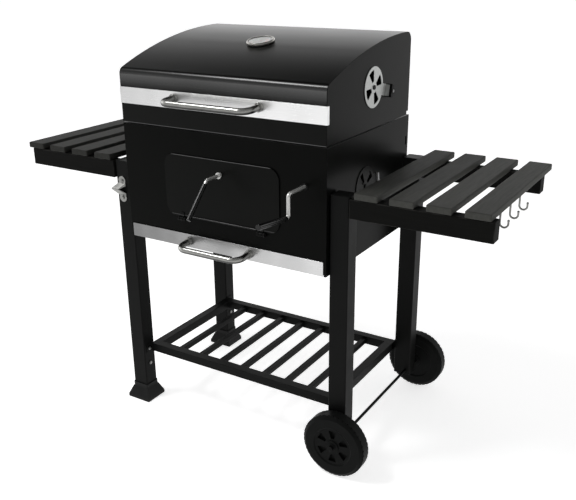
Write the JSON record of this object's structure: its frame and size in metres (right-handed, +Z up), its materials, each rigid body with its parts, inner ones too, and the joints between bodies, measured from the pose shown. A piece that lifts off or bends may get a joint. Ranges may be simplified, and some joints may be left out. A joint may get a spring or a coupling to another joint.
{
  "type": "charcoal grill cart",
  "caption": "Black charcoal grill cart with a hinged domed lid, front charcoal door, crank-lifted tray, ash drawer, slatted side tables, bottom rack and wheels.",
  "frame": {"origin": "middle of the cart's outline, on the ground", "axes": "+X along the cart towards the wheels, +Y from front to back, +Z up"},
  "size_m": [1.3638, 0.7274, 1.039],
  "materials": {
    "enamel": "satin-gloss black heat-proof enamel",
    "powder_black": "dark grey-black powder coat, fine texture",
    "table_paint": "charcoal-painted boards, matte",
    "black_plastic": "matte black moulded plastic",
    "stainless": "brushed stainless steel",
    "zinc": "matte zinc-plated steel",
    "grate_steel": "plated steel wire",
    "ash_steel": "galvanised sheet steel",
    "dial": "satin white dial",
    "lens": "clear flat glass",
    "needle": "satin red"
  },
  "bodies": {
    "cart": {"box_front": "enamel", "box_left": "enamel", "box_right": "enamel", "box_rear": "enamel", "box_rim": "enamel", "grate_ledges": "powder_black", "drawer_runners": "ash_steel", "tray_guides": "ash_steel", "crank_bearings": "powder_black", "door_hinge": "powder_black", "lid_hinge_lower": "powder_black", "front_left_leg": "powder_black", "rear_left_leg": "powder_black", "front_right_leg": "powder_black", "rear_right_leg": "powder_black", "front_left_foot": "black_plastic", "rear_left_foot": "black_plastic", "leg_plugs": "black_plastic", "rack_frame": "powder_black", "rack_bars": "powder_black", "axle": "powder_black", "axle_nuts": "powder_black", "bolts": "zinc", "table_brackets": "powder_black", "left_front_apron": "table_paint", "left_rear_apron": "table_paint", "left_slats": "table_paint", "right_front_apron": "table_paint", "right_rear_apron": "table_paint", "right_slats": "table_paint", "utensil_hooks": "stainless", "bottle_opener": "zinc"},
    "lid": {"lid_shell": "enamel", "lid_left_side": "enamel", "lid_right_side": "enamel", "lid_band": "stainless", "lid_handle": "stainless", "lid_hinge_upper": "powder_black", "thermometer_bezel": "stainless", "thermometer_dial": "dial", "thermometer_glass": "lens"},
    "needle": {"thermometer_needle": "needle"},
    "lid_vent": {"lid_vent_disc": "zinc", "lid_vent_knob": "black_plastic"},
    "box_vent": {"box_vent_disc": "powder_black"},
    "door": {"charcoal_door": "enamel", "door_handle_rod": "stainless", "door_handle_grip": "black_plastic"},
    "crank": {"crank_rod": "stainless", "crank_grip": "black_plastic", "crank_pinion": "ash_steel"},
    "tray": {"charcoal_tray": "ash_steel", "charcoal_grate": "grate_steel"},
    "drawer": {"ash_drawer": "ash_steel", "drawer_front": "stainless", "drawer_handle": "stainless"},
    "front_wheel": {"front_wheel": "black_plastic"},
    "rear_wheel": {"rear_wheel": "black_plastic"},
    "grate_left": {"grate_left": "grate_steel"},
    "grate_right": {"grate_right": "grate_steel"}
  },
  "joints": [
    {"name": "lid_hinge", "type": "hinge", "parent": "cart", "child": "lid", "pos_m": [-0.0089, 0.2852, 0.829], "axis": [-1, 0, 0], "range_deg": [0, 95]},
    {"name": "thermometer_needle_pivot", "type": "hinge", "parent": "lid", "child": "needle", "pos_m": [-0.0089, 0.02532, 1.02222], "axis": [0, -0.1962, 0.9806], "range_deg": [-270, 0], "stiffness_Nm_per_rad": 0.0005},
    {"name": "lid_vent_pivot", "type": "hinge", "parent": "lid", "child": "lid_vent", "pos_m": [0.29025, 0.0562, 0.926], "axis": [1, 0, 0], "range_deg": [0, 45]},
    {"name": "box_vent_pivot", "type": "hinge", "parent": "cart", "child": "box_vent", "pos_m": [0.29025, 0.0232, 0.691], "axis": [1, 0, 0], "range_deg": [-21, 24]},
    {"name": "charcoal_door_hinge", "type": "hinge", "parent": "cart", "child": "door", "pos_m": [-0.0049, -0.1773, 0.596], "axis": [-1, 0, 0], "range_deg": [-90, 0]},
    {"name": "tray_lift", "type": "slide", "parent": "cart", "child": "tray", "axis": [0, 0, 1], "range_m": [0, 0.055]},
    {"name": "crank_turn", "type": "hinge", "parent": "cart", "child": "crank", "pos_m": [0.2331, -0.2298, 0.73], "axis": [0, 1, 0], "range_deg": [0, 211]},
    {"name": "ash_drawer_slide", "type": "slide", "parent": "cart", "child": "drawer", "axis": [0, -1, 0], "range_m": [0, 0.32]},
    {"name": "front_wheel_spin", "type": "hinge", "parent": "cart", "child": "front_wheel", "pos_m": [0.3271, -0.1808, 0.084], "axis": [0, 1, 0], "continuous": true},
    {"name": "rear_wheel_spin", "type": "hinge", "parent": "cart", "child": "rear_wheel", "pos_m": [0.3271, 0.3337, 0.084], "axis": [0, 1, 0], "continuous": true},
    {"name": "left_grate_lift", "type": "slide", "parent": "cart", "child": "grate_left", "axis": [0, 0, 1], "range_m": [0, 0.06]},
    {"name": "right_grate_lift", "type": "slide", "parent": "cart", "child": "grate_right", "axis": [0, 0, 1], "range_m": [0, 0.06]}
  ],
  "couplings": [
    {"joint": "crank_turn", "follows": "tray_lift", "rad_per_m": 66.667}
  ]
}
